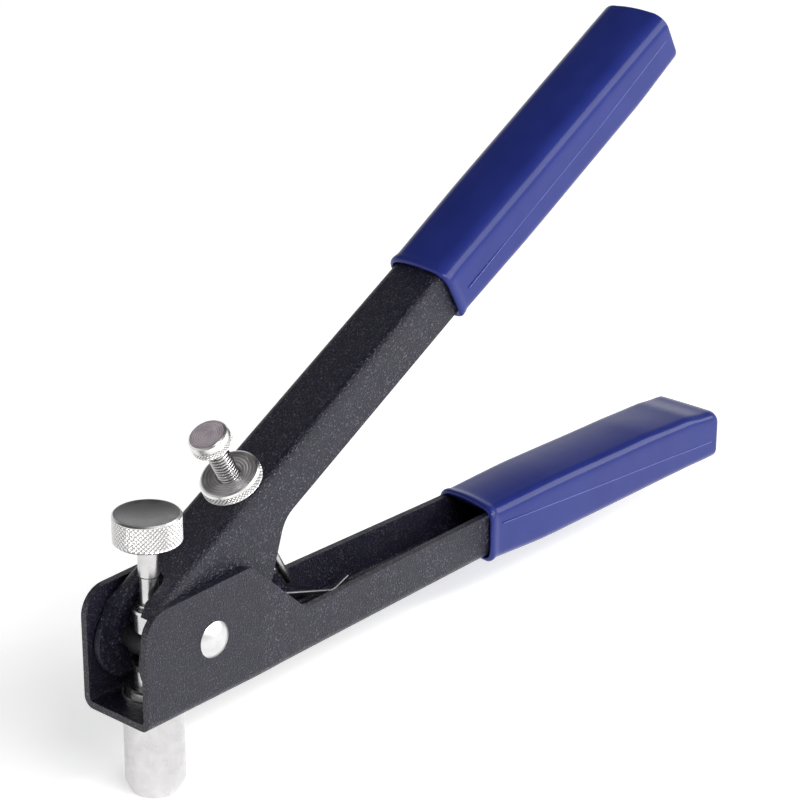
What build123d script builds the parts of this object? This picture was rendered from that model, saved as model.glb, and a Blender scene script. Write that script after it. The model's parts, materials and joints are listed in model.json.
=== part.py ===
"""Hand setting tool for blind threaded inserts: two channel levers, a lifting mandrel and a stop screw.

Frame, in millimetres: +Z runs up the mandrel axis from the tip of the nose barrel, which is the
origin, and the levers reach toward +X. The levers swing about an axis along Y.
"""
from build123d import *
import math
import os

os.makedirs("parts", exist_ok=True)

# ---- driving dimensions ----
SHEET = 2.0  # steel sheet of both levers
BEND = 3.0  # outside bend radius of the sheet
BEND_IN = BEND - SHEET

BARREL_R = 8.0
FLOOR_Z = 24.7  # underside of the lower lever, where the barrel's shoulder sits
FLOOR_TOP = FLOOR_Z + SHEET

BODY_FRONT = -12.8
BODY_HALF = 12.0  # half width of the lower lever at its head
NECK_HALF = 11.6  # half width just behind the head
HANDLE_HALF = 9.8  # half width of the lower lever under its grip
HEAD_X = 28.0  # where the head's width ends, the neck begins, and the handle's width is reached
NECK_X = 38.0
HANDLE_X = 122.0
WALL_TOP = 38.6  # top of the low walls behind the cheeks
TAPER_X = 140.0  # from here the walls taper, inside the grip, down to this height
WALL_END_TOP = 35.0
CHEEK_TOP = 57.6
CHEEK_BACK = (24.9, CHEEK_TOP + 0.7)  # from here the cheek's edge slopes down to the low wall
WALL_FRONT = (45.9, WALL_TOP)
LOWER_END = 226.0

PIVOT_X = 11.0
PIVOT_Z = 42.7
RIVET_R = 3.0
BUSH_R = 4.0
FIT = 0.05  # radial clearance of the running fits
CUT = 60.0  # reach of the cutting pieces past the steel

OPEN_ANGLE = 29.2  # upper lever above the lower one with the tool open
UPPER_HALF = 9.2  # half width of the upper lever
WEB_TOP = 19.4  # outer face of the upper web above the pivot, square to the lever
WALL_LOW = 5.9  # lower edge of the upper lever's walls above the pivot
WEB_FRONT = -7.1  # front end of the upper web along the lever, measured from the pivot
UPPER_END = 220.0
SLOT_HALF = 3.5  # fork slot round the stem, and its root along the lever
SLOT_ROOT = 2.4

TRUNNION_Z = 41.8
TRUNNION_R = 4.2
TRUNNION_HALF = 4.4
LUG_R = 11.2  # round front of the upper lever's walls about the trunnion
PIN_R = 3.4

STEM_R = 2.75
ROD_R = 2.5
KNOB_R = 9.0
KNOB_LOW = 70.7
KNOB_TOP = 78.4
STEM_LOW = 61.0  # the rod's thicker stem, from here into the knob
STEM_TOP = KNOB_LOW + 5.0
COLLAR_R = 4.25  # thrust collar, and the flange at its top
FLANGE_R = 4.75
COLLAR_LOW = 46.08
COLLAR_TOP = 52.6
RING_TOP = 53.6  # retaining ring above the thrust collar
ROD_LOW = 28.0
COUPLER_R = 4.7
COUPLER_LOW = 13.0
COUPLER_TOP = 35.6
SOCKET_R = 3.0  # the coupler's M6 socket for a threaded mandrel, and its top
SOCKET_TOP = 27.5
NOSE_THREAD_R = 5.0  # thread for the nosepiece, and its top inside the barrel
NOSE_THREAD_TOP = 12.0
SPIGOT_R = 6.9  # barrel's threaded spigot above the floor
SPIGOT_TOP = 30.6

SCREW_S = 33.9  # stop screw's place along the upper lever, measured from the pivot
SCREW_R = 3.0  # M6
SCREW_TIP = -20.8
SCREW_NECK_R = 1.4  # plain point below the thread
SCREW_HEAD_R = 5.6
HEAD_PIN_R = 2.0  # the screw's end inside its head
HEAD_LOW = 34.0
HEAD_TOP = 38.6
NUT_R = 8.4
NUT_LOW = WEB_TOP + 0.05
NUT_TOP = WEB_TOP + 4.25

WIRE_R = 0.7
COIL_R = 5.0
COIL_HALF = 6.0
COIL_TURNS = 4

GRIP_TOP_R = 4.2  # corner radii of the grips' sections
GRIP_LOW_R = 3.0

SIDE = Plane.XZ  # local x and y are the frame's X and Z
UPPER = Plane(
    origin=(PIVOT_X, 0, PIVOT_Z),
    x_dir=(math.cos(math.radians(OPEN_ANGLE)), 0, math.sin(math.radians(OPEN_ANGLE))),
    z_dir=(-math.sin(math.radians(OPEN_ANGLE)), 0, math.cos(math.radians(OPEN_ANGLE))),
)
PIVOT_AXIS = Axis((PIVOT_X, 0, PIVOT_Z), (0, 1, 0))


def on_side(along, above):
    """A point of the side view, given along and above the upper lever from the pivot."""
    turn = math.radians(OPEN_ANGLE)
    x = PIVOT_X + along * math.cos(turn) - above * math.sin(turn)
    z = PIVOT_Z + along * math.sin(turn) + above * math.cos(turn)
    return (x, z)


def save(piece, name):
    """Label the piece and write its STEP file."""
    piece.part.label = name
    export_step(piece.part, f"parts/{name}.step")


# ---- lower lever: a channel with tall cheeks at its head ----
def plan_face(inset, overrun):
    """Closed plan of the lower lever, moved in by the inset and run past both of its ends."""
    far_half = [
        (BODY_FRONT - overrun, BODY_HALF - inset),
        (HEAD_X, BODY_HALF - inset),
        (NECK_X, NECK_HALF - inset),
        (HANDLE_X, HANDLE_HALF - inset),
        (LOWER_END + overrun, HANDLE_HALF - inset),
    ]
    near_half = [(x, -y) for x, y in reversed(far_half)]
    return far_half + near_half


def long_low_edges(solid_edges, height):
    """Edges that lie at the height and run along the lever."""
    level = solid_edges.filter_by_position(Axis.Z, height - 0.01, height + 0.01)
    return [edge for edge in level if abs(edge.tangent_at(0.5).X) > 0.7]


with BuildPart() as channel_space:
    with BuildSketch(Plane.XY.offset(FLOOR_TOP)):
        with BuildLine():
            Polyline(*plan_face(SHEET, SHEET), close=True)
        make_face()
    extrude(amount=CUT)
    fillet(long_low_edges(channel_space.edges(), FLOOR_TOP), BEND_IN)

with BuildPart() as lower_body:
    with BuildSketch(Plane.XY.offset(FLOOR_Z)):
        with BuildLine():
            Polyline(*plan_face(0, 0), close=True)
        make_face()
    extrude(amount=CHEEK_TOP + 1 - FLOOR_Z)
    fillet(long_low_edges(lower_body.edges(), FLOOR_Z), BEND)
    add(channel_space.part, mode=Mode.SUBTRACT)
    with BuildSketch(SIDE) as cheek_profile:
        with BuildLine():
            Polyline(
                (BODY_FRONT, FLOOR_Z),
                (BODY_FRONT, CHEEK_TOP - 0.3),
                CHEEK_BACK,
                WALL_FRONT,
                (TAPER_X, WALL_TOP),
                (LOWER_END, WALL_END_TOP),
                (LOWER_END, FLOOR_Z),
                close=True,
            )
        make_face()
        for corner, radius in (
            ((BODY_FRONT, CHEEK_TOP), 7.5),
            (CHEEK_BACK, 4.0),
            (WALL_FRONT, 6.0),
        ):
            fillet(cheek_profile.vertices().sort_by_distance((*corner, 0))[0], radius)
    extrude(amount=BODY_HALF + 1, both=True, mode=Mode.INTERSECT)
    with Locations((0, 0, FLOOR_TOP)):
        Hole(SPIGOT_R, depth=SHEET + 1)
    with BuildSketch(SIDE):
        with Locations((PIVOT_X, PIVOT_Z)):
            Circle(RIVET_R)
    extrude(amount=BODY_HALF + 1, both=True, mode=Mode.SUBTRACT)
save(lower_body, "lower_body")

# ---- nose barrel, its bore and the thread for a nosepiece ----
with BuildPart() as nose_barrel:
    with BuildSketch(SIDE):
        with BuildLine():
            Polyline(
                (NOSE_THREAD_R, 0.6),
                (NOSE_THREAD_R + 0.6, 0),
                (BARREL_R - 1.5, 0),
                (BARREL_R, 3.0),
                (BARREL_R, FLOOR_Z),
                (SPIGOT_R, FLOOR_Z),
                (SPIGOT_R, SPIGOT_TOP - 0.5),
                (SPIGOT_R - 0.5, SPIGOT_TOP),
                (COUPLER_R + FIT, SPIGOT_TOP),
                (COUPLER_R + FIT, NOSE_THREAD_TOP),
                (NOSE_THREAD_R, NOSE_THREAD_TOP),
                close=True,
            )
        make_face()
    revolve(axis=Axis.Z)
save(nose_barrel, "nose_barrel")

ring_nut_r = SPIGOT_R + 1.2
ring_nut_high = 2.0
spanner_notch = (1.6, 2.4)
with BuildPart() as barrel_nut:
    with BuildSketch(Plane.XY.offset(FLOOR_TOP)):
        Circle(ring_nut_r)
        Circle(SPIGOT_R, mode=Mode.SUBTRACT)
    extrude(amount=ring_nut_high)
    chamfer(barrel_nut.edges().group_by(Axis.Z)[-1].sort_by(SortBy.RADIUS)[-1], 0.4)
    with BuildSketch(Plane.XY.offset(FLOOR_TOP)):
        with PolarLocations(ring_nut_r, 4, start_angle=45):
            Rectangle(*spanner_notch)
    extrude(amount=ring_nut_high, mode=Mode.SUBTRACT)
save(barrel_nut, "barrel_nut")

# ---- pivot: rivet, bush and two washers ----
def dome_height(rim, height, radius):
    """Height of a spherical dome above its rim's plane, at a radius from its middle."""
    ball = (rim**2 + height**2) / (2 * height)
    return height - ball + math.sqrt(ball**2 - radius**2)


NEAR_HEAD = (5.0, 2.2)  # rim radius and height of the rivet's domed head
FAR_HEAD = (4.7, 1.8)  # and of the head formed on its far end

with BuildPart() as pivot_rivet:
    for side, (rim, height) in ((-1, NEAR_HEAD), (1, FAR_HEAD)):
        with BuildSketch(Plane.XY.offset(PIVOT_Z)):
            with BuildLine():
                face = side * BODY_HALF
                middle = face + side * dome_height(rim, height, rim / 2)
                Line((PIVOT_X, 0), (PIVOT_X, face + side * height))
                ThreePointArc(
                    (PIVOT_X, face + side * height),
                    (PIVOT_X + rim / 2, middle),
                    (PIVOT_X + rim, face),
                )
                Polyline((PIVOT_X + rim, face), (PIVOT_X + RIVET_R, face), (PIVOT_X + RIVET_R, 0))
                Line((PIVOT_X + RIVET_R, 0), (PIVOT_X, 0))
            make_face()
        revolve(axis=PIVOT_AXIS)
save(pivot_rivet, "pivot_rivet")


def ring_across(outer, inner, low, high):
    """A ring about the pivot axis between two places across the tool."""
    with BuildPart() as ring:
        with BuildSketch(Plane.XZ.offset(-low)):
            with Locations((PIVOT_X, PIVOT_Z)):
                Circle(outer)
                Circle(inner, mode=Mode.SUBTRACT)
        extrude(amount=low - high)
    return ring.part


inner_wall = BODY_HALF - SHEET
washer_r = 7.5
with BuildPart() as pivot_bush:
    add(ring_across(BUSH_R, RIVET_R, -inner_wall, inner_wall))
save(pivot_bush, "pivot_bush")

with BuildPart() as pivot_washers:
    add(ring_across(washer_r, BUSH_R, UPPER_HALF + 0.1, inner_wall))
    add(ring_across(washer_r, BUSH_R, -inner_wall, -UPPER_HALF - 0.1))
save(pivot_washers, "pivot_washers")


# ---- torsion spring: one leg on the lower floor, the other under the upper web ----
def tangent_angle(reach, side):
    """Turn about the pivot, in the coil's own sense, at which a leg to the point leaves the coil."""
    v_x = reach[0] - PIVOT_X
    v_z = reach[1] - PIVOT_Z
    length = math.sqrt(v_x**2 + v_z**2 - COIL_R**2)
    return math.atan2(side * length, COIL_R) - math.atan2(v_z, v_x)


def on_coil(turn, across):
    """Centre of the wire at a turn about the pivot."""
    return (PIVOT_X + COIL_R * math.cos(turn), across, PIVOT_Z - COIL_R * math.sin(turn))


floor_bend = (74.6, FLOOR_TOP + WIRE_R + 0.05)
floor_tip = (80.8, FLOOR_TOP + WIRE_R + 2.3)
web_tip = on_side(46.0, WEB_TOP - SHEET - WIRE_R - 0.1)
web_turn = tangent_angle(web_tip, 1)
floor_turn = tangent_angle(floor_bend, -1) + 2 * math.pi
coil_sweep = floor_turn - web_turn + 2 * math.pi * COIL_TURNS


def rod_between(start, end, radius):
    """A straight round rod with rounded ends."""
    axis = Vector(*end) - Vector(*start)
    with BuildPart() as rod:
        with BuildSketch(Plane(origin=start, z_dir=axis)):
            Circle(radius)
        extrude(amount=axis.length)
        with Locations(start, end):
            Sphere(radius)
    return rod.part


coil_plane = Plane(
    origin=(PIVOT_X, -COIL_HALF, PIVOT_Z),
    x_dir=(math.cos(web_turn), 0, -math.sin(web_turn)),
    z_dir=(0, 1, 0),
)
coil_pitch = 2 * COIL_HALF * 2 * math.pi / coil_sweep
coil_path = coil_plane * Helix(coil_pitch, 2 * COIL_HALF, COIL_R)
with BuildPart() as return_spring:
    with BuildSketch(Plane(origin=coil_path @ 0, z_dir=coil_path % 0)):
        Circle(WIRE_R)
    sweep(path=coil_path, is_frenet=True)
    for start, end in (
        (on_coil(web_turn, -COIL_HALF), (web_tip[0], -COIL_HALF, web_tip[1])),
        (on_coil(floor_turn, COIL_HALF), (floor_bend[0], COIL_HALF, floor_bend[1])),
        ((floor_bend[0], COIL_HALF, floor_bend[1]), (floor_tip[0], COIL_HALF, floor_tip[1])),
    ):
        add(rod_between(start, end, WIRE_R))
save(return_spring, "return_spring")

# ---- upper lever: an inverted channel whose walls end in two lugs about the trunnion ----
web_corner = on_side(WEB_FRONT, WEB_TOP)
lug_reach = math.dist(web_corner, (0, TRUNNION_Z))
lug_turn = math.atan2(web_corner[1] - TRUNNION_Z, web_corner[0]) + math.acos(LUG_R / lug_reach)
lug_tangent = (LUG_R * math.cos(lug_turn), TRUNNION_Z + LUG_R * math.sin(lug_turn))
throat_top = on_side(37.0, WALL_LOW)
throat_low = (30.4, 35.0)
heel = (21.0, 31.2)

slot_long = 30.0
along_lever = Axis(UPPER.origin, UPPER.x_dir)
out_of_web = Axis(UPPER.origin, UPPER.z_dir)

with BuildPart() as upper_space:
    with BuildSketch(UPPER.offset(WEB_TOP - SHEET)):
        with Locations((UPPER_END / 2, 0)):
            Rectangle(UPPER_END + 2 * CUT, 2 * (UPPER_HALF - SHEET))
    extrude(amount=-CUT)
    under_web = upper_space.faces().sort_by(out_of_web)[-1]
    fillet(under_web.edges().filter_by(along_lever), BEND_IN)

with BuildPart() as upper_handle:
    with BuildSketch(UPPER.offset(WEB_TOP)):
        with Locations((UPPER_END / 2, 0)):
            Rectangle(UPPER_END + CUT, 2 * UPPER_HALF)
    extrude(amount=-CUT + SHEET)
    web_face = upper_handle.faces().sort_by(out_of_web)[-1]
    fillet(web_face.edges().filter_by(along_lever), BEND)
    add(upper_space.part, mode=Mode.SUBTRACT)
    with BuildSketch(SIDE) as wall_profile:
        with BuildLine():
            Polyline(
                web_corner,
                lug_tangent,
                (0, TRUNNION_Z),
                (0, TRUNNION_Z - LUG_R),
                heel,
                throat_low,
                throat_top,
                on_side(UPPER_END, WALL_LOW),
                on_side(UPPER_END, WEB_TOP),
                close=True,
            )
        make_face()
        with Locations((0, TRUNNION_Z)):
            Circle(LUG_R)
        for corner, radius in ((heel, 8.0), (throat_low, 3.0), (throat_top, 9.0)):
            fillet(wall_profile.vertices().sort_by_distance((*corner, 0))[0], radius)
    extrude(amount=UPPER_HALF + 1, both=True, mode=Mode.INTERSECT)
    # fork slot round the stem, open to the front
    with BuildSketch(UPPER.offset(WEB_TOP + 1)):
        with Locations((SLOT_ROOT - slot_long / 2, 0)):
            SlotOverall(slot_long, 2 * SLOT_HALF)
    extrude(amount=-SHEET - 3, mode=Mode.SUBTRACT)
    with BuildSketch(SIDE):
        with Locations((PIVOT_X, PIVOT_Z)):
            Circle(BUSH_R + FIT)
        with Locations((0, TRUNNION_Z)):
            Circle(PIN_R + FIT)
    extrude(amount=UPPER_HALF + 1, both=True, mode=Mode.SUBTRACT)
    with BuildSketch(UPPER.offset(WEB_TOP + 1)):
        with Locations((SCREW_S, 0)):
            Circle(SCREW_R + FIT)
    extrude(amount=-SHEET - 2, mode=Mode.SUBTRACT)
save(upper_handle, "upper_handle")

boss_r = 4.9
boss_high = 5.0
with BuildPart() as screw_boss:
    with BuildSketch(UPPER.offset(WEB_TOP - SHEET)):
        with Locations((SCREW_S, 0)):
            RegularPolygon(boss_r, 6)
            Circle(SCREW_R + FIT, mode=Mode.SUBTRACT)
    extrude(amount=-boss_high)
save(screw_boss, "screw_boss")

# ---- stop screw, its knurled head and the lock nut ----
head_pin_long = 3.0
screw_axis = Axis(UPPER.from_local_coords((SCREW_S, 0, 0)), UPPER.z_dir)
screw_plane = Plane(origin=screw_axis.position, x_dir=UPPER.x_dir, z_dir=(0, -1, 0))


def turned(plane, points, axis):
    """A turned piece from its half profile."""
    with BuildPart() as piece:
        with BuildSketch(plane):
            with BuildLine():
                Polyline(*points, close=True)
            make_face()
        revolve(axis=axis)
    return piece.part


with BuildPart() as stop_screw:
    add(
        turned(
            screw_plane,
            [
                (0, SCREW_TIP),
                (SCREW_NECK_R - 0.5, SCREW_TIP),
                (SCREW_NECK_R, SCREW_TIP + 4.0),
                (SCREW_NECK_R, 0),
                (SCREW_R, SCREW_R - SCREW_NECK_R),
                (SCREW_R, HEAD_LOW),
                (HEAD_PIN_R, HEAD_LOW),
                (HEAD_PIN_R, HEAD_LOW + head_pin_long),
                (0, HEAD_LOW + head_pin_long),
            ],
            screw_axis,
        )
    )
save(stop_screw, "stop_screw")

with BuildPart() as stop_screw_head:
    add(
        turned(
            screw_plane,
            [
                (HEAD_PIN_R + FIT, HEAD_LOW + FIT),
                (SCREW_HEAD_R - 1.0, HEAD_LOW + FIT),
                (SCREW_HEAD_R, HEAD_LOW + 0.8),
                (SCREW_HEAD_R, HEAD_TOP - 1.3),
                (SCREW_HEAD_R - 0.7, HEAD_TOP),
                (0, HEAD_TOP),
                (0, HEAD_LOW + head_pin_long + FIT),
                (HEAD_PIN_R + FIT, HEAD_LOW + head_pin_long + FIT),
            ],
            screw_axis,
        )
    )
save(stop_screw_head, "stop_screw_head")

with BuildPart() as lock_nut:
    add(
        turned(
            screw_plane,
            [
                (SCREW_R + FIT, NUT_LOW),
                (NUT_R - 1.2, NUT_LOW),
                (NUT_R - 1.2, NUT_LOW + 0.7),
                (NUT_R - 0.4, NUT_LOW + 0.7),
                (NUT_R, NUT_LOW + 1.1),
                (NUT_R, NUT_TOP - 0.9),
                (NUT_R - 0.6, NUT_TOP),
                (SCREW_R + 0.6, NUT_TOP),
                (SCREW_R + FIT, NUT_TOP - 0.5),
            ],
            screw_axis,
        )
    )
save(lock_nut, "lock_nut")

# ---- trunnion: the cross pin that the upper lever lifts the mandrel by ----
rod_slot_r = ROD_R + 0.15
with BuildPart() as trunnion:
    with BuildSketch(SIDE):
        with Locations((0, TRUNNION_Z)):
            Circle(TRUNNION_R)
    extrude(amount=TRUNNION_HALF, both=True)
    with BuildSketch(SIDE):
        with Locations((0, TRUNNION_Z)):
            Circle(PIN_R)
    extrude(amount=UPPER_HALF - 0.1, both=True)
    chamfer(trunnion.faces().filter_by(Axis.Y).group_by(Axis.Y)[0].edges(), 0.4)
    chamfer(trunnion.faces().filter_by(Axis.Y).group_by(Axis.Y)[-1].edges(), 0.4)
    # slotted bore: the trunnion moves back and forth on its arc as it lifts the rod
    with BuildSketch(Plane.XY.offset(TRUNNION_Z)):
        with Locations((-0.16, 0)):
            SlotOverall(2 * rod_slot_r + 0.44, 2 * rod_slot_r)
    extrude(amount=TRUNNION_R + 1, both=True, mode=Mode.SUBTRACT)
save(trunnion, "trunnion")

# ---- mandrel: rod, knob, thrust collar, jam nut and coupler ----
with BuildPart() as mandrel_rod:
    add(
        turned(
            SIDE,
            [
                (0, ROD_LOW),
                (ROD_R - 0.4, ROD_LOW),
                (ROD_R, ROD_LOW + 0.4),
                (ROD_R, STEM_LOW),
                (STEM_R, STEM_LOW + 0.4),
                (STEM_R, STEM_TOP),
                (0, STEM_TOP),
            ],
            Axis.Z,
        )
    )
save(mandrel_rod, "mandrel_rod")

with BuildPart() as mandrel_knob:
    add(
        turned(
            SIDE,
            [
                (STEM_R, KNOB_LOW),
                (KNOB_R - 0.5, KNOB_LOW),
                (KNOB_R, KNOB_LOW + 0.5),
                (KNOB_R, KNOB_TOP - 0.5),
                (KNOB_R - 0.5, KNOB_TOP),
                (0, KNOB_TOP),
                (0, STEM_TOP),
                (STEM_R, STEM_TOP),
            ],
            Axis.Z,
        )
    )
save(mandrel_knob, "mandrel_knob")

with BuildPart() as thrust_collar:
    add(
        turned(
            SIDE,
            [
                (ROD_R + FIT, COLLAR_LOW),
                (COLLAR_R, COLLAR_LOW),
                (COLLAR_R, COLLAR_TOP - 1.2),
                (FLANGE_R, COLLAR_TOP - 1.0),
                (FLANGE_R, COLLAR_TOP - 0.2),
                (FLANGE_R - 0.2, COLLAR_TOP),
                (ROD_R + FIT, COLLAR_TOP),
            ],
            Axis.Z,
        )
    )
save(thrust_collar, "thrust_collar")

with BuildPart() as retaining_ring:
    with BuildSketch(Plane.XY.offset(COLLAR_TOP + 0.1)):
        Circle(ROD_R + 0.9)
        Circle(ROD_R, mode=Mode.SUBTRACT)
    extrude(amount=RING_TOP - COLLAR_TOP - 0.1)
save(retaining_ring, "retaining_ring")

jam_top = TRUNNION_Z - TRUNNION_R - 0.15
with BuildPart() as jam_nut:
    with BuildSketch(Plane.XY.offset(COUPLER_TOP)):
        RegularPolygon(COUPLER_R + 0.9, 6)
        Circle(ROD_R, mode=Mode.SUBTRACT)
    extrude(amount=jam_top - COUPLER_TOP)
save(jam_nut, "jam_nut")

with BuildPart() as mandrel_coupler:
    add(
        turned(
            SIDE,
            [
                (SOCKET_R + 0.4, COUPLER_LOW),
                (COUPLER_R - 0.4, COUPLER_LOW),
                (COUPLER_R, COUPLER_LOW + 0.4),
                (COUPLER_R, COUPLER_TOP - 0.5),
                (COUPLER_R - 0.5, COUPLER_TOP),
                (ROD_R, COUPLER_TOP),
                (ROD_R, ROD_LOW),
                (SOCKET_R, SOCKET_TOP),
                (SOCKET_R, COUPLER_LOW + 0.4),
            ],
            Axis.Z,
        )
    )
save(mandrel_coupler, "mandrel_coupler")


# ---- grips: moulded sleeves with a crowned top and a closed, rounded end ----
def grip_section(plane, half_width, low, shoulder, crown):
    """Section of a grip square to its lever; local x runs across the tool and y up from the lever."""
    with BuildSketch(plane) as section:
        with BuildLine():
            Polyline((-half_width, shoulder), (-half_width, low), (half_width, low), (half_width, shoulder))
            ThreePointArc((half_width, shoulder), (0, crown), (-half_width, shoulder))
        make_face()
        fillet(section.vertices().group_by(Axis.Y)[-1], GRIP_TOP_R)
        fillet(section.vertices().group_by(Axis.Y)[0], GRIP_LOW_R)
    return section.sketch


def lever_plane(origin, direction):
    """Section plane whose local x runs across the tool and local y up from the lever."""
    return Plane(origin=origin, x_dir=(0, 1, 0), z_dir=direction)


LOWER_GRIP = (  # place along the lever, half width, low face, shoulder and crown of each section
    (124.0, 11.5, 23.3, 39.9, 41.2),
    (150.0, 11.6, 22.2, 39.9, 41.2),
    (200.0, 11.6, 21.8, 39.0, 40.2),
    (226.0, 11.8, 21.6, 37.6, 38.8),
    (238.0, 12.2, 21.6, 36.4, 37.4),
)
with BuildPart() as lower_grip:
    for along, half_width, low, shoulder, crown in LOWER_GRIP:
        section_plane = lever_plane((along, 0, 0), (1, 0, 0))
        add(grip_section(section_plane, half_width, low, shoulder, crown))
    loft()
    fillet(lower_grip.faces().sort_by(Axis.X)[-1].edges(), 1.8)
    with BuildSketch(SIDE):
        with BuildLine():
            Polyline(
                (0, FLOOR_Z),
                (0, WALL_TOP),
                (TAPER_X, WALL_TOP),
                (LOWER_END, WALL_END_TOP),
                (LOWER_END, FLOOR_Z),
                close=True,
            )
        make_face()
    extrude(amount=HANDLE_HALF, both=True, mode=Mode.SUBTRACT)
save(lower_grip, "lower_grip")

UPPER_GRIP = (
    (116.0, 11.2, 3.5, 20.4, 21.7),
    (160.0, 11.3, 3.4, 20.5, 21.8),
    (205.0, 11.4, 3.6, 20.6, 21.9),
    (228.9, 11.5, 5.0, 20.4, 22.0),
)
with BuildPart() as upper_grip:
    for along, half_width, low, shoulder, crown in UPPER_GRIP:
        section_plane = lever_plane(UPPER.from_local_coords((along, 0, 0)), UPPER.x_dir)
        add(grip_section(section_plane, half_width, low, shoulder, crown))
    loft()
    fillet(upper_grip.faces().sort_by(along_lever)[-1].edges(), 2.4)
    with BuildSketch(lever_plane(UPPER.from_local_coords((UPPER_END, 0, 0)), UPPER.x_dir)):
        with Locations((0, (WALL_LOW + WEB_TOP) / 2)):
            Rectangle(2 * UPPER_HALF, WEB_TOP - WALL_LOW)
    extrude(amount=-UPPER_END, mode=Mode.SUBTRACT)
save(upper_grip, "upper_grip")
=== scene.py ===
"""Studio picture of the threaded insert setting tool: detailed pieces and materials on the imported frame."""
import json
import math

import bmesh
import bpy
import numpy as np
from mathutils import Matrix, Vector


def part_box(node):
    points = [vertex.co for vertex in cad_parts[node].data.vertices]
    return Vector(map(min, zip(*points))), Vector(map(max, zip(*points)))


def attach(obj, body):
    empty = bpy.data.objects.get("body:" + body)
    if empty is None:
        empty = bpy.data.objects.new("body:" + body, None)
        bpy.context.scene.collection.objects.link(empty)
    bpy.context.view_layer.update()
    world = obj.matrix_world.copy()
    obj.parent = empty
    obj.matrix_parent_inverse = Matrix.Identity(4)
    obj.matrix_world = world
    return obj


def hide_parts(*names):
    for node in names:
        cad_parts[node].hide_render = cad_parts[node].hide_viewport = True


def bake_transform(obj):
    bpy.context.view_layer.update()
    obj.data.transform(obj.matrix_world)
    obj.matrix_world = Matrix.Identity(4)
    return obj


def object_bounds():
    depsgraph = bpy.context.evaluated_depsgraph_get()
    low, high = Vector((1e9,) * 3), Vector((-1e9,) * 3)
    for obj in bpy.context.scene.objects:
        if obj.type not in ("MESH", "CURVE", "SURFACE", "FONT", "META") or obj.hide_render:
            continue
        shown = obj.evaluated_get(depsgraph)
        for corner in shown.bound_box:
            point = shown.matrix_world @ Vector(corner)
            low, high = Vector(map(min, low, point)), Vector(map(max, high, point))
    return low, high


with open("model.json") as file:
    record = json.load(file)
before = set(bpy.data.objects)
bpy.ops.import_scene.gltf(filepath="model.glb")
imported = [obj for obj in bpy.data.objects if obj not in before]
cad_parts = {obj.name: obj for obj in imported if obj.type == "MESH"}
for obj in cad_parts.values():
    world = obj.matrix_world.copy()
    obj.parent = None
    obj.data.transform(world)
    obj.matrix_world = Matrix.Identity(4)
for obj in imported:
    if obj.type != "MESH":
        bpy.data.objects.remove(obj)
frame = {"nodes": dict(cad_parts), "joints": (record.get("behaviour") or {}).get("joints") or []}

MM = 0.001
CAD_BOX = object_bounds()
JOINTS = {joint["name"]: joint for joint in frame["joints"]}

# The upper lever's own directions: out of its web, and along it from the pivot.
PIVOT = Vector(JOINTS["handle_pivot"]["pos_m"])
SCREW_FOOT = Vector(JOINTS["screw_turn"]["pos_m"])
OUT = Vector(JOINTS["screw_turn"]["axis"]).normalized()
ALONG = Vector((OUT.z, 0, -OUT.x))


# ---- places taken from the frame ----
def reach(node, origin, axis):
    """Lowest and highest place of a CAD node along an axis, and its radius about it."""
    points = np.array([v.co for v in frame["nodes"][node].data.vertices]) - np.array(origin)
    along = points @ np.array(axis)
    radial = np.linalg.norm(points - np.outer(along, np.array(axis)), axis=1)
    return along.min(), along.max(), radial.max()


def standing(origin, axis):
    """Matrix that puts a piece made about its own Z on an axis of the tool."""
    turn = Vector(axis).to_track_quat("Z", "Y").to_matrix().to_4x4()
    return Matrix.Translation(origin) @ turn


# ---- mesh making ----
# points round a knurled rim for each diamond, and the crease angle that keeps the diamonds crisp
PER_DIAMOND = 10
KNURL_CREASE = 20


def make_piece(name, points, faces, crease=35, place=None, cuts=None):
    """A smooth-shaded mesh object, sharp where its faces turn by more than the crease angle.

    Cuts are the depths of a cut pattern at the points, kept for the material's painted shade in the grooves.
    """
    merge_distance = 1e-7
    mesh = bpy.data.meshes.new(name)
    mesh.from_pydata([tuple(p) for p in points], [], [tuple(f) for f in faces])
    if cuts is not None:
        mesh.attributes.new("cut_depth", "FLOAT", "POINT").data.foreach_set("value", cuts)
    work = bmesh.new()
    work.from_mesh(mesh)
    bmesh.ops.remove_doubles(work, verts=work.verts, dist=merge_distance)
    bmesh.ops.recalc_face_normals(work, faces=work.faces)
    for face in work.faces:
        face.smooth = True
    for edge in work.edges:
        edge.smooth = edge.calc_face_angle(0) < math.radians(crease)
    work.to_mesh(mesh)
    work.free()
    piece = bpy.data.objects.new(name, mesh)
    bpy.context.scene.collection.objects.link(piece)
    if place is not None:
        piece.matrix_world = place
    return piece


def ring_faces(rings, around, closed=False):
    """Faces between neighbouring rings of points; closed joins the last ring to the first."""
    faces = []
    for i in range(rings if closed else rings - 1):
        low = i * around
        high = (i + 1) % rings * around
        for j in range(around):
            k = (j + 1) % around
            faces.append((low + j, low + k, high + k, high + j))
    return faces


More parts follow.
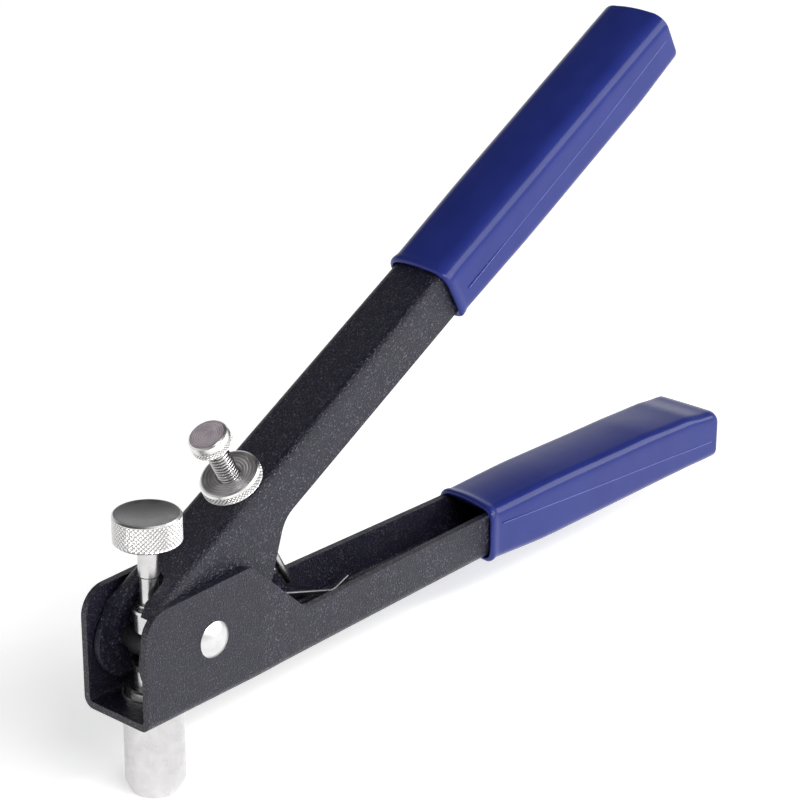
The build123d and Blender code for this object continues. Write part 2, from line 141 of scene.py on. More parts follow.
def lathe(name, profile, place, relief=None, span=(0, 0), step=0.1 * MM, around=128, crease=35):
    """A turned piece from (radius, height) points; relief cuts a pattern into the span of heights."""
    slack = 1e-9
    stations = []
    for (r0, h0), (r1, h1) in zip(profile, profile[1:]):
        patterned = relief and min(h0, h1) >= span[0] - slack and max(h0, h1) <= span[1] + slack
        count = max(1, math.ceil(abs(h1 - h0) / step)) if patterned else 1
        stations += [(r0 + (r1 - r0) * i / count, h0 + (h1 - h0) * i / count) for i in range(count)]
    stations.append(profile[-1])
    angle = np.arange(around) * 2 * math.pi / around
    points = []
    cuts = []
    for radius, height in stations:
        inside = relief and span[0] <= height <= span[1]
        cut = relief(angle, height) if inside else np.zeros(around)
        cuts += cut.tolist()
        ring = radius - cut
        level = np.full(around, height)
        points += np.stack([ring * np.cos(angle), ring * np.sin(angle), level], 1).tolist()
    loop = profile[0] == profile[-1]
    faces = ring_faces(len(stations), around, closed=loop)
    return make_piece(name, points, faces, crease, place, cuts)


def groove(phase, share):
    """Depth, from 0 to 1, of a V groove that fills this share of each turn of the phase."""
    off = np.abs(phase - np.round(phase))
    return np.clip(1 - 2 * off / share, 0, 1)


def diamond_knurl(count, radius, depth, low, high):
    """Relief of two crossing sets of grooves, faded out at both ends of the rim."""
    lead = 2 * math.pi * radius / count
    share = 0.5
    run_out = 0.3 * MM

    def relief(angle, height):
        turn = angle * count / (2 * math.pi)
        climb = (height - low) / lead
        both = np.maximum(groove(turn + climb, share), groove(turn - climb, share))
        fade = min(1, (height - low) / run_out, (high - height) / run_out)
        return depth * both * max(0, fade)

    return relief


def screw_thread(pitch, depth, low, high):
    """Relief of a single-start thread, run out at both ends."""
    share = 0.7
    run_out = 0.5 * pitch

    def relief(angle, height):
        phase = (height - low) / pitch - angle / (2 * math.pi)
        fade = min(1, (height - low) / run_out, (high - height) / run_out)
        return depth * groove(phase, share) * max(0, fade)

    return relief


def hexagon(across, radius):
    """Relief that leaves a hexagon of this size across its flats on a round of this radius."""

    def relief(angle, height):
        from_flat = angle % (math.pi / 3) - math.pi / 6
        return np.maximum(0, radius - across / 2 / np.cos(from_flat))

    return relief


def tube(name, path, radius, around=16):
    """A round wire along a path, with domed ends."""
    tip_width = 0.02
    path = [Vector(p) for p in path]
    first = (path[1] - path[0]).normalized()
    last = (path[-1] - path[-2]).normalized()
    dome = [(math.cos(a), max(math.sin(a), tip_width)) for a in map(math.radians, (0, 30, 60))]
    centres = [path[0] - first * radius * out for out, _ in dome] + path
    centres += [path[-1] + last * radius * out for out, _ in reversed(dome)]
    widths = [radius * wide for _, wide in dome] + [radius] * len(path)
    widths += [radius * wide for _, wide in reversed(dome)]
    side = first.orthogonal().normalized()
    points = []
    for i, centre in enumerate(centres):
        ahead = (centres[min(i + 1, len(centres) - 1)] - centres[max(i - 1, 0)]).normalized()
        side = (side - ahead * side.dot(ahead)).normalized()
        across = ahead.cross(side)
        for j in range(around):
            turn = 2 * math.pi * j / around
            points.append(centre + (side * math.cos(turn) + across * math.sin(turn)) * widths[i])
    faces = ring_faces(len(centres), around)
    faces.append(tuple(reversed(range(around))))
    faces.append(tuple(range((len(centres) - 1) * around, len(centres) * around)))
    return make_piece(name, points, faces, crease=50)


# ---- materials ----
def new_material(name, color, roughness, metallic=0.0, coat=0.0):
    """A principled material, returned with its node tree and shader."""
    material = bpy.data.materials.new(name)
    material.use_nodes = True
    tree = material.node_tree
    shader = tree.nodes["Principled BSDF"]
    shader.inputs["Base Color"].default_value = (*color, 1)
    shader.inputs["Roughness"].default_value = roughness
    shader.inputs["Metallic"].default_value = metallic
    shader.inputs["Coat Weight"].default_value = coat
    return material, tree, shader


def object_point(tree, stretch=(1, 1, 1)):
    """The surface point in the object's own metres, stretched along its axes."""
    where = tree.nodes.new("ShaderNodeTexCoord")
    scale = tree.nodes.new("ShaderNodeMapping")
    scale.inputs["Scale"].default_value = stretch
    tree.links.new(where.outputs["Object"], scale.inputs["Vector"])
    return scale.outputs["Vector"]


def noise(tree, point, size, detail=2.0, roughness=0.5):
    """Noise whose grains are about this size in metres."""
    node = tree.nodes.new("ShaderNodeTexNoise")
    node.inputs["Scale"].default_value = 1 / size
    node.inputs["Detail"].default_value = detail
    node.inputs["Roughness"].default_value = roughness
    tree.links.new(point, node.inputs["Vector"])
    return node.outputs["Fac"]


def ranged(tree, value, low, high, to_low, to_high):
    """A value mapped from one range to another and held inside it."""
    node = tree.nodes.new("ShaderNodeMapRange")
    node.inputs["From Min"].default_value = low
    node.inputs["From Max"].default_value = high
    node.inputs["To Min"].default_value = to_low
    node.inputs["To Max"].default_value = to_high
    tree.links.new(value, node.inputs["Value"])
    return node.outputs["Result"]


def blended(tree, share, first, second):
    """A colour between two colours."""
    node = tree.nodes.new("ShaderNodeMix")
    node.data_type = "RGBA"
    node.inputs["A"].default_value = (*first, 1)
    node.inputs["B"].default_value = (*second, 1)
    tree.links.new(share, node.inputs["Factor"])
    return node.outputs["Result"]


def bumped(tree, shader, height, depth, under=None):
    """Bump of this depth in metres, over another bump if one is given."""
    node = tree.nodes.new("ShaderNodeBump")
    node.inputs["Distance"].default_value = depth
    tree.links.new(height, node.inputs["Height"])
    if under is not None:
        tree.links.new(under, node.inputs["Normal"])
    tree.links.new(node.outputs["Normal"], shader.inputs["Normal"])
    return node.outputs["Normal"]


def powder_coat():
    """Black textured powder coat: pebbled, with painted glints: lighter specks where the grains stand up."""
    film = (0.0055, 0.005, 0.0145)
    glint_speck = (0.17, 0.16, 0.22)
    grain_size = 0.5 * MM
    grain_height = 0.4 * MM
    peel_size = 2.6 * MM
    peel_height = 0.05 * MM
    material, tree, shader = new_material("powder_coat", film, 0.4)
    shader.inputs["Specular IOR Level"].default_value = 0.42
    point = object_point(tree)
    grain = noise(tree, point, grain_size, 2.0, 0.6)
    peel = noise(tree, point, peel_size)
    # painted highlight: the highest grains are coloured lighter, as glints
    glint_specks = ranged(tree, grain, 0.58, 0.74, 0, 1)
    tree.links.new(blended(tree, glint_specks, film, glint_speck), shader.inputs["Base Color"])
    tree.links.new(ranged(tree, peel, 0.3, 0.7, 0.28, 0.42), shader.inputs["Roughness"])
    pebbles = bumped(tree, shader, peel, peel_height)
    bumped(tree, shader, grain, grain_height, pebbles)
    return material


def vinyl(name, deep, pale):
    """Dip-moulded vinyl: glossy, with faint waves between two shades and drawn streaks in its gloss."""
    wave_size = 9 * MM
    wave_height = 0.06 * MM
    streak_width = 1.2 * MM
    along_streaks = (0.08, 1, 1)
    material, tree, shader = new_material(name, deep, 0.3, coat=0.4)
    shader.inputs["Coat Roughness"].default_value = 0.08
    shader.inputs["Specular IOR Level"].default_value = 0.1
    waves = noise(tree, object_point(tree), wave_size, 1.0)
    drawn = noise(tree, object_point(tree, along_streaks), streak_width)
    tree.links.new(blended(tree, waves, deep, pale), shader.inputs["Base Color"])
    tree.links.new(ranged(tree, drawn, 0.3, 0.7, 0.28, 0.33), shader.inputs["Roughness"])
    bumped(tree, shader, waves, wave_height)
    return material


def plated(name, color, roughness, stain=0.9, groove_shade_share=1.0):
    """Bright plating with faint clouding, fine handling marks and painted shade darkening its cut grooves.

    The stain is how much of the colour the clouds keep, and the groove share after it how much the cut
    grooves keep: painted shade in the grooves.
    """
    cloud_size = 3.5 * MM
    mark_size = 0.5 * MM
    mark_height = 0.005 * MM
    shallow_cut = 0.08 * MM
    deep_cut = 0.3 * MM
    along_marks = (1, 1, 0.15)
    material, tree, shader = new_material(name, color, roughness, metallic=1.0)
    cloud = noise(tree, object_point(tree), cloud_size, 4.0, 0.6)
    marks = noise(tree, object_point(tree, along_marks), mark_size)
    dull = tuple(c * stain for c in color)
    clouding = ranged(tree, cloud, 0.35, 0.65, 0, 1)
    cut = tree.nodes.new("ShaderNodeAttribute")
    cut.attribute_name = "cut_depth"
    # painted shade: the colour is darkened where knurl and thread grooves are cut deep
    light = ranged(tree, cut.outputs["Fac"], shallow_cut, deep_cut, 1, groove_shade_share)
    tone = tree.nodes.new("ShaderNodeVectorMath")
    tone.operation = "SCALE"
    tree.links.new(blended(tree, clouding, dull, color), tone.inputs["Vector"])
    tree.links.new(light, tone.inputs["Scale"])
    tree.links.new(tone.outputs["Vector"], shader.inputs["Base Color"])
    sheen = ranged(tree, cloud, 0.3, 0.7, roughness + 0.08, roughness - 0.04)
    tree.links.new(sheen, shader.inputs["Roughness"])
    bumped(tree, shader, marks, mark_height)
    return material


def turned_face(name, color, roughness, pitch, depth):
    """Plated metal faced on a lathe: rings about the piece's own Z."""
    cloud_size = 2.5 * MM
    groove_share = 0.72
    scale_at_unit_pitch = math.pi / 10
    material, tree, shader = new_material(name, color, roughness, metallic=1.0)
    rings = tree.nodes.new("ShaderNodeTexWave")
    rings.wave_type = "RINGS"
    rings.rings_direction = "Z"
    rings.inputs["Scale"].default_value = scale_at_unit_pitch / pitch
    rings.inputs["Distortion"].default_value = 1.5
    rings.inputs["Detail"].default_value = 3.0
    rings.inputs["Detail Scale"].default_value = 2.0
    point = object_point(tree)
    tree.links.new(point, rings.inputs["Vector"])
    cloud = noise(tree, point, cloud_size, 3.0)
    dull = tuple(c * groove_share for c in color)
    tree.links.new(blended(tree, rings.outputs["Fac"], dull, color), shader.inputs["Base Color"])
    sheen = ranged(tree, cloud, 0.3, 0.7, roughness - 0.05, roughness + 0.1)
    tree.links.new(sheen, shader.inputs["Roughness"])
    bumped(tree, shader, rings.outputs["Fac"], depth)
    return material


def black_oxide():
    """Black oxide on machined steel, slightly uneven."""
    dark = (0.012, 0.012, 0.014)
    rubbed = (0.05, 0.05, 0.054)
    cloud_size = 1.5 * MM
    cloud_height = 0.01 * MM
    material, tree, shader = new_material("black_oxide", dark, 0.4, metallic=0.6)
    cloud = noise(tree, object_point(tree), cloud_size, 3.0)
    tree.links.new(blended(tree, cloud, dark, rubbed), shader.inputs["Base Color"])
    bumped(tree, shader, cloud, cloud_height)
    return material


POWDER = powder_coat()
VINYL = vinyl("navy_vinyl", (0.014, 0.022, 0.155), (0.021, 0.033, 0.20))
# the seam's vinyl is coloured lighter than the sleeve's: a painted highlight along the ridge
SEAM_HIGHLIGHT_VINYL = vinyl("seam_vinyl_painted_highlight", (0.08, 0.10, 0.32), (0.12, 0.14, 0.40))
# nickel and knurled_nickel darken their thread and knurl grooves with painted shade
NICKEL = plated("nickel", (0.64, 0.63, 0.63), 0.22, groove_shade_share=0.15)
RIVET_PLATE = plated("rivet_plate", (0.76, 0.75, 0.75), 0.3)
KNURL = plated("knurled_nickel", (0.88, 0.87, 0.86), 0.3, 0.9, 0.35)
TURNED = turned_face("turned_nickel", (0.46, 0.45, 0.46), 0.42, 0.5 * MM, 0.006 * MM)
HEAD_FACE = turned_face("turned_head", (0.95, 0.86, 0.92), 0.62, 0.6 * MM, 0.02 * MM)
NUT_FACE = turned_face("turned_nut", (0.95, 0.91, 0.93), 0.4, 0.85 * MM, 0.05 * MM)
WIRE = plated("spring_wire", (0.26, 0.26, 0.27), 0.3)
OXIDE = black_oxide()


def paint(piece, material):
    """Give a piece one material."""
    piece.data.materials.clear()
    piece.data.materials.append(material)
    return piece


def stand_for(piece, material, slot, body, *nodes):
    """Paint a detailed piece, fix it to its body and let it stand for its CAD nodes."""
    paint(piece, material)
    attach(piece, body)
    if nodes:
        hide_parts(*nodes)
    return piece


KEPT_NODES = {
    "lower_body": POWDER,
    "upper_handle": POWDER,
    "barrel_nut": NICKEL,
    "pivot_bush": NICKEL,
    "pivot_washers": NICKEL,
    "screw_boss": OXIDE,
    "trunnion": OXIDE,
    "thrust_collar": NICKEL,
    "mandrel_rod": NICKEL,
    "retaining_ring": NICKEL,
    "mandrel_coupler": NICKEL,
}
for node, material in KEPT_NODES.items():
    for slot in frame["nodes"][node].material_slots:
        slot.material = material


# ---- nose barrel with its threaded spigot ----
def nose_barrel():
    low, high, radius = reach("nose_barrel", (0, 0, 0), (0, 0, 1))
    spigot = 6.9 * MM
    shoulder = 24.7 * MM
    bore = 4.75 * MM
    nose_bore = 5.0 * MM
    bore_step = 12.0 * MM
    mouth_chamfer = 0.6 * MM
    end_chamfer = 0.5 * MM
    neck = 2.0 * MM
    pitch = 1.0 * MM
    thread_depth = 0.5 * MM
    # the nose's taper, as (depth under the barrel's radius, height above the tip)
    taper = [(1.5 * MM, 0), (1.2 * MM, 0.12 * MM), (0.15 * MM, 2.7 * MM), (0, 3.3 * MM)]
    profile = [
        (nose_bore, low + mouth_chamfer),
        (nose_bore + mouth_chamfer, low),
        *((radius - under, low + up) for under, up in taper),
        (radius, shoulder),
        (spigot, shoulder),
        (spigot, high - end_chamfer),
        (spigot - end_chamfer, high),
        (bore, high),
        (bore, bore_step),
        (nose_bore, bore_step),
        (nose_bore, low + mouth_chamfer),
    ]
    span = (shoulder + neck, high - end_chamfer)
    thread = screw_thread(pitch, thread_depth, *span)
    piece = lathe("nose_barrel_turned", profile, Matrix.Identity(4), thread, span)
    stand_for(piece, NICKEL, "barrel_steel", "base", "nose_barrel")


nose_barrel()


# ---- rivet with its two domed heads ----
def rivet():
    half = frame["nodes"]["lower_body"].dimensions.y / 2
    low, high, _ = reach("pivot_rivet", PIVOT, (0, 1, 0))
    shank = 3.0 * MM
    near_rim = 5.0 * MM
    far_rim = 4.7 * MM
    steps = 12
    profile = [(0, low)]
    for rim, tip in ((near_rim, low), (far_rim, high)):
        side = math.copysign(1, tip)
        height = abs(tip) - half
        ball = (rim**2 + height**2) / (2 * height)
        edge = math.asin(rim / ball)
        dome = []
        for i in range(steps + 1):
            turn = edge * i / steps
            dome.append((ball * math.sin(turn), side * (half + height - ball + ball * math.cos(turn))))
        profile += dome[1:] if side < 0 else []
        profile += [(shank, side * half)]
        profile += reversed(dome[1:]) if side > 0 else []
    profile.append((0, high))
    piece = lathe("pivot_rivet_domed", profile, standing(PIVOT, (0, 1, 0)))
    stand_for(piece, RIVET_PLATE, "rivet_steel", "base", "pivot_rivet")


rivet()


# ---- knob on the mandrel ----
def knob():
    low, high, radius = reach("mandrel_knob", (0, 0, 0), (0, 0, 1))
    edge = 0.45 * MM
    stem = 2.75 * MM
    lip = radius - edge - 0.1 * MM
    rim = (low + edge, high - edge)
    profile = [
        (stem, low),
        (radius - edge, low),
        (radius, rim[0]),
        (radius, rim[1]),
        (radius - edge, high),
        (lip, high),
    ]
    diamonds = 46
    knurl_depth = 0.26 * MM
    knurl_step = 0.11 * MM
    knurl = diamond_knurl(diamonds, radius, knurl_depth, *rim)
    around = diamonds * PER_DIAMOND
    place = Matrix.Identity(4)
    piece = lathe("mandrel_knob_rim", profile, place, knurl, rim, knurl_step, around, KNURL_CREASE)
    stand_for(piece, KNURL, "knob_steel", "mandrel", "mandrel_knob")
    land = radius - 1.2 * MM
    sunk = high - 0.04 * MM
    step = 0.1 * MM
    top = [(lip, high), (land, high), (land - step, sunk), (0, sunk)]
    face = lathe("mandrel_knob_top", top, Matrix.Identity(4))
    stand_for(face, TURNED, "knob_steel", "mandrel")


knob()


# ---- jam nut on the mandrel, with chamfered corners ----
def jam_nut():
    low, high, corner = reach("jam_nut", (0, 0, 0), (0, 0, 1))
    gap = 0.02 * MM
    low += gap
    across = 2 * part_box("jam_nut")[1].y
    bore = 2.6 * MM
    clip = 0.2 * MM
    clipped = corner - clip
    land = across / 2 - clip
    chamfer = 0.25 * MM
    flat_step = 0.4 * MM
    around = 144
    profile = [
        (bore, low),
        (land, low),
        (clipped, low + chamfer),
        (clipped, high - chamfer),
        (land, high),
        (bore, high),
        (bore, low),
    ]
    span = (low + chamfer / 2, high - chamfer / 2)
    flats = hexagon(across, clipped)
    piece = lathe("jam_nut_chamfered", profile, Matrix.Identity(4), flats, span, flat_step, around)
    stand_for(piece, OXIDE, "fastener_black", "mandrel", "jam_nut")


jam_nut()


# ---- stop screw, its head and the lock nut ----
def stop_screw():
    place = standing(SCREW_FOOT, OUT)
    low, high, radius = reach("stop_screw", SCREW_FOOT, OUT)
    point = 0.9 * MM
    point_length = 4.0 * MM
    neck = 1.4 * MM
    in_head = 2.0 * MM
    head_low = high - 3.0 * MM
    span = (1.6 * MM, head_low)
    pitch = 1.0 * MM
    thread_depth = 0.45 * MM
    thread_step = 0.1 * MM
    around = 64
    profile = [
        (0, low),
        (point, low),
        (neck, low + point_length),
        (neck, 0),
        (radius, span[0]),
        (radius, span[1]),
        (in_head, head_low),
        (in_head, high),
        (0, high),
    ]
    thread = screw_thread(pitch, thread_depth, *span)
    piece = lathe("stop_screw_threaded", profile, place, thread, span, thread_step, around)
    stand_for(piece, NICKEL, "screw_steel", "stop_screw", "stop_screw")


def screw_head():
    place = standing(SCREW_FOOT, OUT)
    low, high, radius = reach("stop_screw_head", SCREW_FOOT, OUT)
    rim = (low + 0.8 * MM, high - 2.1 * MM)
    hole = 2.05 * MM
    lip = radius - 1.0 * MM
    band = radius - 0.12 * MM
    band_start = rim[1] + 0.1 * MM
    # the rounded edge of the plain band, as (depth under the radius, depth under the top)
    edge = [(0.12 * MM, 0.9 * MM), (0.3 * MM, 0.4 * MM), (0.8 * MM, 0)]
    profile = [
        (hole, low),
        (lip, low),
        (radius, rim[0]),
        (radius, rim[1]),
        (band, band_start),
        *((radius - under, high - down) for under, down in edge),
        (lip, high),
    ]
    diamonds = 40
    knurl_depth = 0.3 * MM
    knurl_step = 0.1 * MM
    knurl = diamond_knurl(diamonds, radius, knurl_depth, *rim)
    around = diamonds * PER_DIAMOND
    piece = lathe("stop_screw_head_rim", profile, place, knurl, rim, knurl_step, around, KNURL_CREASE)
    stand_for(piece, KNURL, "knob_steel", "stop_screw_head", "stop_screw_head")
    dish = 0.05 * MM
    top = [(lip, high), (0, high - dish)]
    face = lathe("stop_screw_head_top", top, place)
    stand_for(face, HEAD_FACE, "knob_steel", "stop_screw_head")


def lock_nut():
    place = standing(SCREW_FOOT, OUT)
    low, high, radius = reach("lock_nut", SCREW_FOOT, OUT)
    bore = 3.05 * MM
    rim = (low + 1.1 * MM, high - 0.95 * MM)
    foot = (radius - 1.2 * MM, low + 0.7 * MM)
    lip = (radius - 0.8 * MM, high - 0.05 * MM)
    profile = [
        (bore, low),
        (foot[0], low),
        foot,
        (radius - 0.4 * MM, foot[1]),
        (radius, rim[0]),
        (radius, rim[1]),
        (radius - 0.35 * MM, high - 0.35 * MM),
        lip,
    ]
    diamonds = 50
    knurl_depth = 0.34 * MM
    knurl_step = 0.1 * MM
    knurl = diamond_knurl(diamonds, radius, knurl_depth, *rim)
    around = diamonds * PER_DIAMOND
    piece = lathe("lock_nut_rim", profile, place, knurl, rim, knurl_step, around, KNURL_CREASE)
    stand_for(piece, KNURL, "nut_steel", "lock_nut", "lock_nut")
    # the turned face's steps down to the bore, as (radius, depth under the top)
    steps = [(5.2 * MM, 0), (5.0 * MM, 0.12 * MM), (3.9 * MM, 0.12 * MM), (3.6 * MM, 0.2 * MM)]
    steps.append((bore, 0.6 * MM))
    top = [lip, (radius - 1.0 * MM, high), *((out, high - down) for out, down in steps), (bore, low)]
    face = lathe("lock_nut_face", top, place)
    stand_for(face, NUT_FACE, "nut_steel", "lock_nut")


stop_screw()
screw_head()
lock_nut()


# ---- return spring ----
def return_spring():
    """Torsion spring: a leg on the lower floor, the coil round the pivot, a leg under the upper web."""
    low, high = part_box("return_spring")
    wire = 0.7 * MM
    across = high.y - wire
    clearance = 0.27 * MM
    coil = PIVOT.x - low.x - wire - clearance
    turns = 4
    per_turn = 40
    bend_x = 74.6 * MM
    tip_rise = 2.25 * MM
    web_along = 46.0 * MM
    web_out = 16.6 * MM
    ease = 1.2 * MM
    ease_share = 0.25
    bend = Vector((bend_x, across, low.z + wire))
    tip = Vector((high.x - wire, across, low.z + wire + tip_rise))
    web = PIVOT + ALONG * web_along + OUT * web_out

    def leaving(point, side):
        """Turn about the pivot at which a leg to the point leaves the coil."""
        run = math.sqrt((point.x - PIVOT.x) ** 2 + (point.z - PIVOT.z) ** 2 - coil**2)
        return math.atan2(side * run, coil) - math.atan2(point.z - PIVOT.z, point.x - PIVOT.x)

    start = leaving(web, 1)
    sweep = leaving(bend, -1) + 2 * math.pi - start + 2 * math.pi * turns
    path = [Vector((web.x, -across, web.z))]
    count = per_turn * turns
    for i in range(count + 1):
        turn = start + sweep * i / count
        y = -across + 2 * across * i / count
        path.append(Vector((PIVOT.x + coil * math.cos(turn), y, PIVOT.z - coil * math.sin(turn))))
    before = (path[-1] - bend).normalized()
    after = (tip - bend).normalized()
    middle = bend + (before + after) * ease * ease_share
    path += [bend + before * ease, middle, bend + after * ease, tip]
    piece = paint(tube("return_spring_wire", path, wire), WIRE)
    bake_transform(piece)
    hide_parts("return_spring")


return_spring()


# ---- grips ----
def grip_ring(half, low, shoulder, crown, top_radius, low_radius):
    """Points round a grip's section, as (across, up), with rounded corners and an arched top."""
    corner_steps = 8
    top_steps = 16
    side_steps = 8
    low_steps = 10
    ring = []

    def corner(x, z, radius, first):
        for i in range(corner_steps + 1):
            turn = math.radians(first + 90 * i / corner_steps)
            ring.append((x + radius * math.cos(turn), z + radius * math.sin(turn)))

    def run(x0, z0, x1, z1, count):
        for i in range(1, count):
            ring.append((x0 + (x1 - x0) * i / count, z0 + (z1 - z0) * i / count))

    rise = crown - shoulder
    flat = half - top_radius
    arch = rise * (1 - (flat / half) ** 2)
    top = shoulder + arch - top_radius
    corner(flat, top, top_radius, 0)
    for i in range(1, top_steps):
        x = flat - 2 * flat * i / top_steps
        ring.append((x, shoulder + rise * (1 - (x / half) ** 2)))
    corner(-flat, top, top_radius, 90)
    run(-half, top, -half, low + low_radius, side_steps)
    corner(-half + low_radius, low + low_radius, low_radius, 180)
    run(-half + low_radius, low, half - low_radius, low, low_steps)
    corner(half - low_radius, low + low_radius, low_radius, 270)
    run(half, low + low_radius, half, top, side_steps)
    return np.array(ring)


def between(stations, along):
    """Section sizes at a place along the grip, eased between the given stations."""
    for first, second in zip(stations, stations[1:]):
        if along <= second[0]:
            break
    share = min(1, max(0, (along - first[0]) / (second[0] - first[0])))
    ease = share * share * (3 - 2 * share)
    way = 0.5 * share + 0.5 * ease
    return [a + (b - a) * way for a, b in zip(first[1:], second[1:])]


def shrunk(ring, by):
    """A section moved in by a distance, towards its middle."""
    centre = (ring.max(0) + ring.min(0)) / 2
    size = (ring.max(0) - ring.min(0)) / 2
    return centre + (ring - centre) * (size - by) / size


def grip(name, node, body, stations, cavity, slant, bulge, place):
    """A dip-moulded sleeve: rolled lip at its mouth, even sleeve, closed and rounded end.

    The cavity is its half width, low face and top. The slant sets the mouth's far side back from the near
    side, and the bulge is how far the end stands out past its rounded edge.
    """
    inner_radius = 0.8 * MM
    lip = 1.0 * MM
    lip_depth = 1.2 * MM
    sleeve_depth = 6 * MM
    waist = 0.30 * MM
    waist_start = 5 * MM
    waist_share = 0.25
    rounding = 2.6 * MM
    lip_steps = 6
    run_steps = 60
    end_steps = 8
    # behind the lip, as (distance from the mouth, how far the sleeve is drawn in)
    behind_lip = [(1.6 * MM, 0.02 * MM), (2.2 * MM, 0.10 * MM), (2.9 * MM, 0.24 * MM), (3.6 * MM, waist)]
    mouth = stations[0][0]
    end = stations[-1][0]
    half_in, low_in, high_in = cavity

    def section(along):
        return grip_ring(*between(stations, along))

    inner = grip_ring(half_in, low_in, high_in, high_in, inner_radius, inner_radius)
    rings = [(mouth + sleeve_depth, inner), (mouth + lip_depth, inner)]
    for i in range(lip_steps + 1):
        turn = math.radians(180 - 90 * i / lip_steps)
        along = mouth + lip + lip * math.cos(turn)
        rings.append((along, shrunk(section(mouth), lip * (1 - math.sin(turn)))))
    for offset, by in behind_lip:
        rings.append((mouth + offset, shrunk(section(mouth + offset), by)))
    run_start = mouth + waist_start
    for i in range(run_steps + 1):
        along = run_start + (end - rounding - run_start) * i / run_steps
        by = waist * max(0, 1 - i / (run_steps * waist_share))
        rings.append((along, shrunk(section(along), by)))
    for i in range(1, end_steps + 1):
        turn = math.radians(90 * i / end_steps)
        sink = rounding * (1 - math.cos(turn))
        along = end - rounding + (rounding - bulge) * math.sin(turn)
        rings.append((along, shrunk(section(end), sink)))
    tip = shrunk(section(end), rounding)
    middle = (tip.max(0) + tip.min(0)) / 2
    for share in (0.75, 0.5, 0.25, 0.0):
        rings.append((end - bulge * share**2, middle + (tip - middle) * share))
    slant_reach = 18 * MM
    crease = 60
    points = []
    for along, ring in rings:
        fade = min(1, max(0, 1 - (along - mouth) / slant_reach))
        for x, z in ring:
            points.append((along + slant * (x / stations[0][1] + 1) / 2 * fade, x, z))
    piece = make_piece(name, points, ring_faces(len(rings), len(inner)), crease, place)
    stand_for(piece, VINYL, "grip_vinyl", body, node)


def seam(name, body, stations, line, place):
    """Thin parting line that the mould leaves along the near face of a grip, in lighter vinyl as a painted
    highlight.
    """
    radius = 0.15 * MM
    sunk = 0.03 * MM
    around = 8
    path = [(along, sunk - between(stations, along)[0], up) for along, up in line]
    piece = tube(name, [place @ Vector(point) for point in path], radius, around)
    stand_for(piece, SEAM_HIGHLIGHT_VINYL, "grip_vinyl", body)


# place along the lever, half width, low face, shoulder, crown, top and low corner radii
LOWER_STATIONS = [
    tuple(value * MM for value in station)
    for station in (
        (124.0, 11.5, 23.3, 39.9, 41.2, 4.0, 3.0),
        (150.0, 11.6, 22.2, 40.0, 41.2, 4.0, 3.0),
        (200.0, 11.6, 21.8, 39.2, 40.2, 4.0, 3.0),
        (222.0, 11.8, 21.7, 38.6, 39.0, 3.6, 3.0),
        (232.0, 12.1, 21.6, 37.5, 37.6, 3.2, 3.0),
        (238.0, 12.2, 21.6, 37.0, 37.1, 3.2, 3.0),
    )
]
UPPER_STATIONS = [
    tuple(value * MM for value in station)
    for station in (
        (116.0, 11.2, 3.5, 20.4, 21.7, 5.2, 3.0),
        (160.0, 11.3, 3.4, 20.5, 21.8, 5.2, 3.0),
        (205.0, 11.4, 3.6, 20.6, 21.9, 5.2, 3.0),
        (228.9, 11.5, 5.0, 20.4, 22.0, 5.2, 3.0),
    )
]
ON_UPPER = Matrix.Translation(PIVOT) @ Matrix(
    ((ALONG.x, 0, OUT.x, 0), (0, 1, 0, 0), (ALONG.z, 0, OUT.z, 0), (0, 0, 0, 1))
)

grip(
    "lower_grip_sleeve",
    "lower_grip",
    "base",
    LOWER_STATIONS,
    cavity=(9.8 * MM, 24.7 * MM, 38.6 * MM),
    slant=3.0 * MM,
    bulge=0.8 * MM,
    place=Matrix.Identity(4),
)
grip(
    "upper_grip_sleeve",
    "upper_grip",
    "upper_lever",
    UPPER_STATIONS,
    cavity=(9.2 * MM, 5.9 * MM, 19.4 * MM),
    slant=0.6 * MM,
    bulge=1.0 * MM,
    place=ON_UPPER,
)

# parting lines, as places along the lever and heights
LOWER_SEAM = [(along * MM, up * MM) for along, up in ((129, 35.0), (175, 31.7), (205, 29.7), (233, 28.0))]
UPPER_SEAM = [(along * MM, up * MM) for along, up in ((122, 10.5), (147, 11.2), (188, 11.9), (224, 13.9))]
seam("lower_grip_seam", "base", LOWER_STATIONS, LOWER_SEAM, Matrix.Identity(4))
seam("upper_grip_seam", "upper_lever", UPPER_STATIONS, UPPER_SEAM, ON_UPPER)


# ---- studio ----
def softbox(name, place, aim, size, power):
    """A rectangular area light aimed at a point."""
    data = bpy.data.lights.new(name, "AREA")
    data.shape = "RECTANGLE"
    data.size, data.size_y = size
    data.energy = power
    light = bpy.data.objects.new(name, data)
    light.location = place
    light.rotation_mode = "QUATERNION"
    light.rotation_quaternion = (Vector(aim) - Vector(place)).to_track_quat("-Z", "Y")
    bpy.context.scene.collection.objects.link(light)


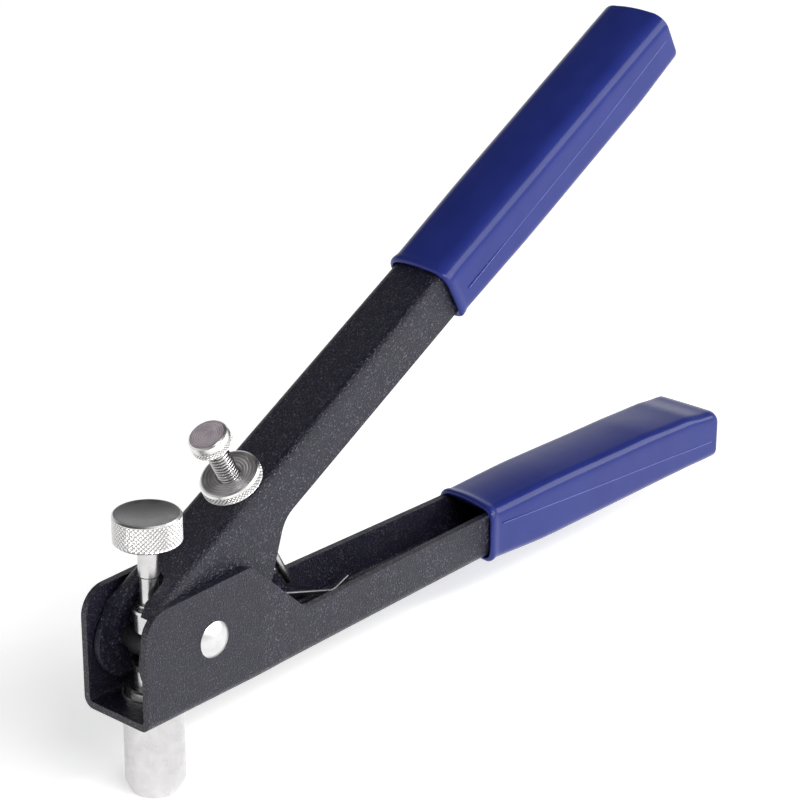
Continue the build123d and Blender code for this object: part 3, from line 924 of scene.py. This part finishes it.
def studio():
    """Pale glowing floor, a room that is bright low down and dim above, and soft lights on the near side."""
    middle = (CAD_BOX[0] + CAD_BOX[1]) / 2
    mesh = bpy.data.meshes.new("studio_floor")
    wide = 6.0
    gap = 0.2 * MM
    under = CAD_BOX[0].z - gap
    corners = [(-wide, -wide), (wide, -wide), (wide, wide), (-wide, wide)]
    mesh.from_pydata([(x, y, under) for x, y in corners], [], [(0, 1, 2, 3)])
    floor = bpy.data.objects.new("studio_floor", mesh)
    bpy.context.scene.collection.objects.link(floor)
    material, tree, shader = new_material("floor_paper", (0.86, 0.86, 0.86), 0.9)
    shader.inputs["Specular IOR Level"].default_value = 0.1
    shader.inputs["Emission Color"].default_value = (1, 1, 1, 1)
    shader.inputs["Emission Strength"].default_value = 0.56
    paint(floor, material)

    world = bpy.data.worlds.new("studio_room")
    world.use_nodes = True
    tree = world.node_tree
    room = tree.nodes["Background"]
    room.inputs["Color"].default_value = (1, 1, 1, 1)
    way = tree.nodes.new("ShaderNodeTexCoord")
    split = tree.nodes.new("ShaderNodeSeparateXYZ")
    tree.links.new(way.outputs["Generated"], split.inputs["Vector"])
    bright_below = 0.15
    dim_above = 0.6
    wall = ranged(tree, split.outputs["Z"], bright_below, dim_above, 0.9, 0.03)
    tree.links.new(wall, room.inputs["Strength"])
    bpy.context.scene.world = world

    key_way = Vector((1.7, -2.5, 1.75))
    key_size = (4.2, 1.8)
    key_watts = 84
    softbox("key_light", middle + key_way, middle, key_size, key_watts)
    streak_way = Vector((-0.45, -1.6, 1.42))
    streak_size = (1.4, 0.2)
    streak_watts = 26
    softbox("streak_light", middle + streak_way, middle, streak_size, streak_watts)


def camera():
    """Long lens, from the front of the near side and above."""
    azimuth = math.radians(-48.82)
    elevation = math.radians(21.87)
    roll = math.radians(0.21)
    back = Vector(
        (
            math.sin(azimuth) * math.cos(elevation),
            -math.cos(azimuth) * math.cos(elevation),
            math.sin(elevation),
        )
    )
    level = Vector((math.cos(azimuth), math.sin(azimuth), 0))
    right = Matrix.Rotation(roll, 3, back) @ level
    up = back.cross(right)
    data = bpy.data.cameras.new("studio_camera")
    data.lens = 116.98
    data.sensor_width = 36
    data.clip_start = 0.05
    data.clip_end = 50
    eye = bpy.data.objects.new("studio_camera", data)
    aside = 0.06387
    above = 0.10107
    away = 0.68147
    location = right * aside + up * above + back * away
    eye.matrix_world = Matrix.Translation(location) @ Matrix((right, up, back)).transposed().to_4x4()
    bpy.context.scene.collection.objects.link(eye)
    bpy.context.scene.camera = eye


studio()
camera()
bpy.context.scene.view_settings.view_transform = "Standard"
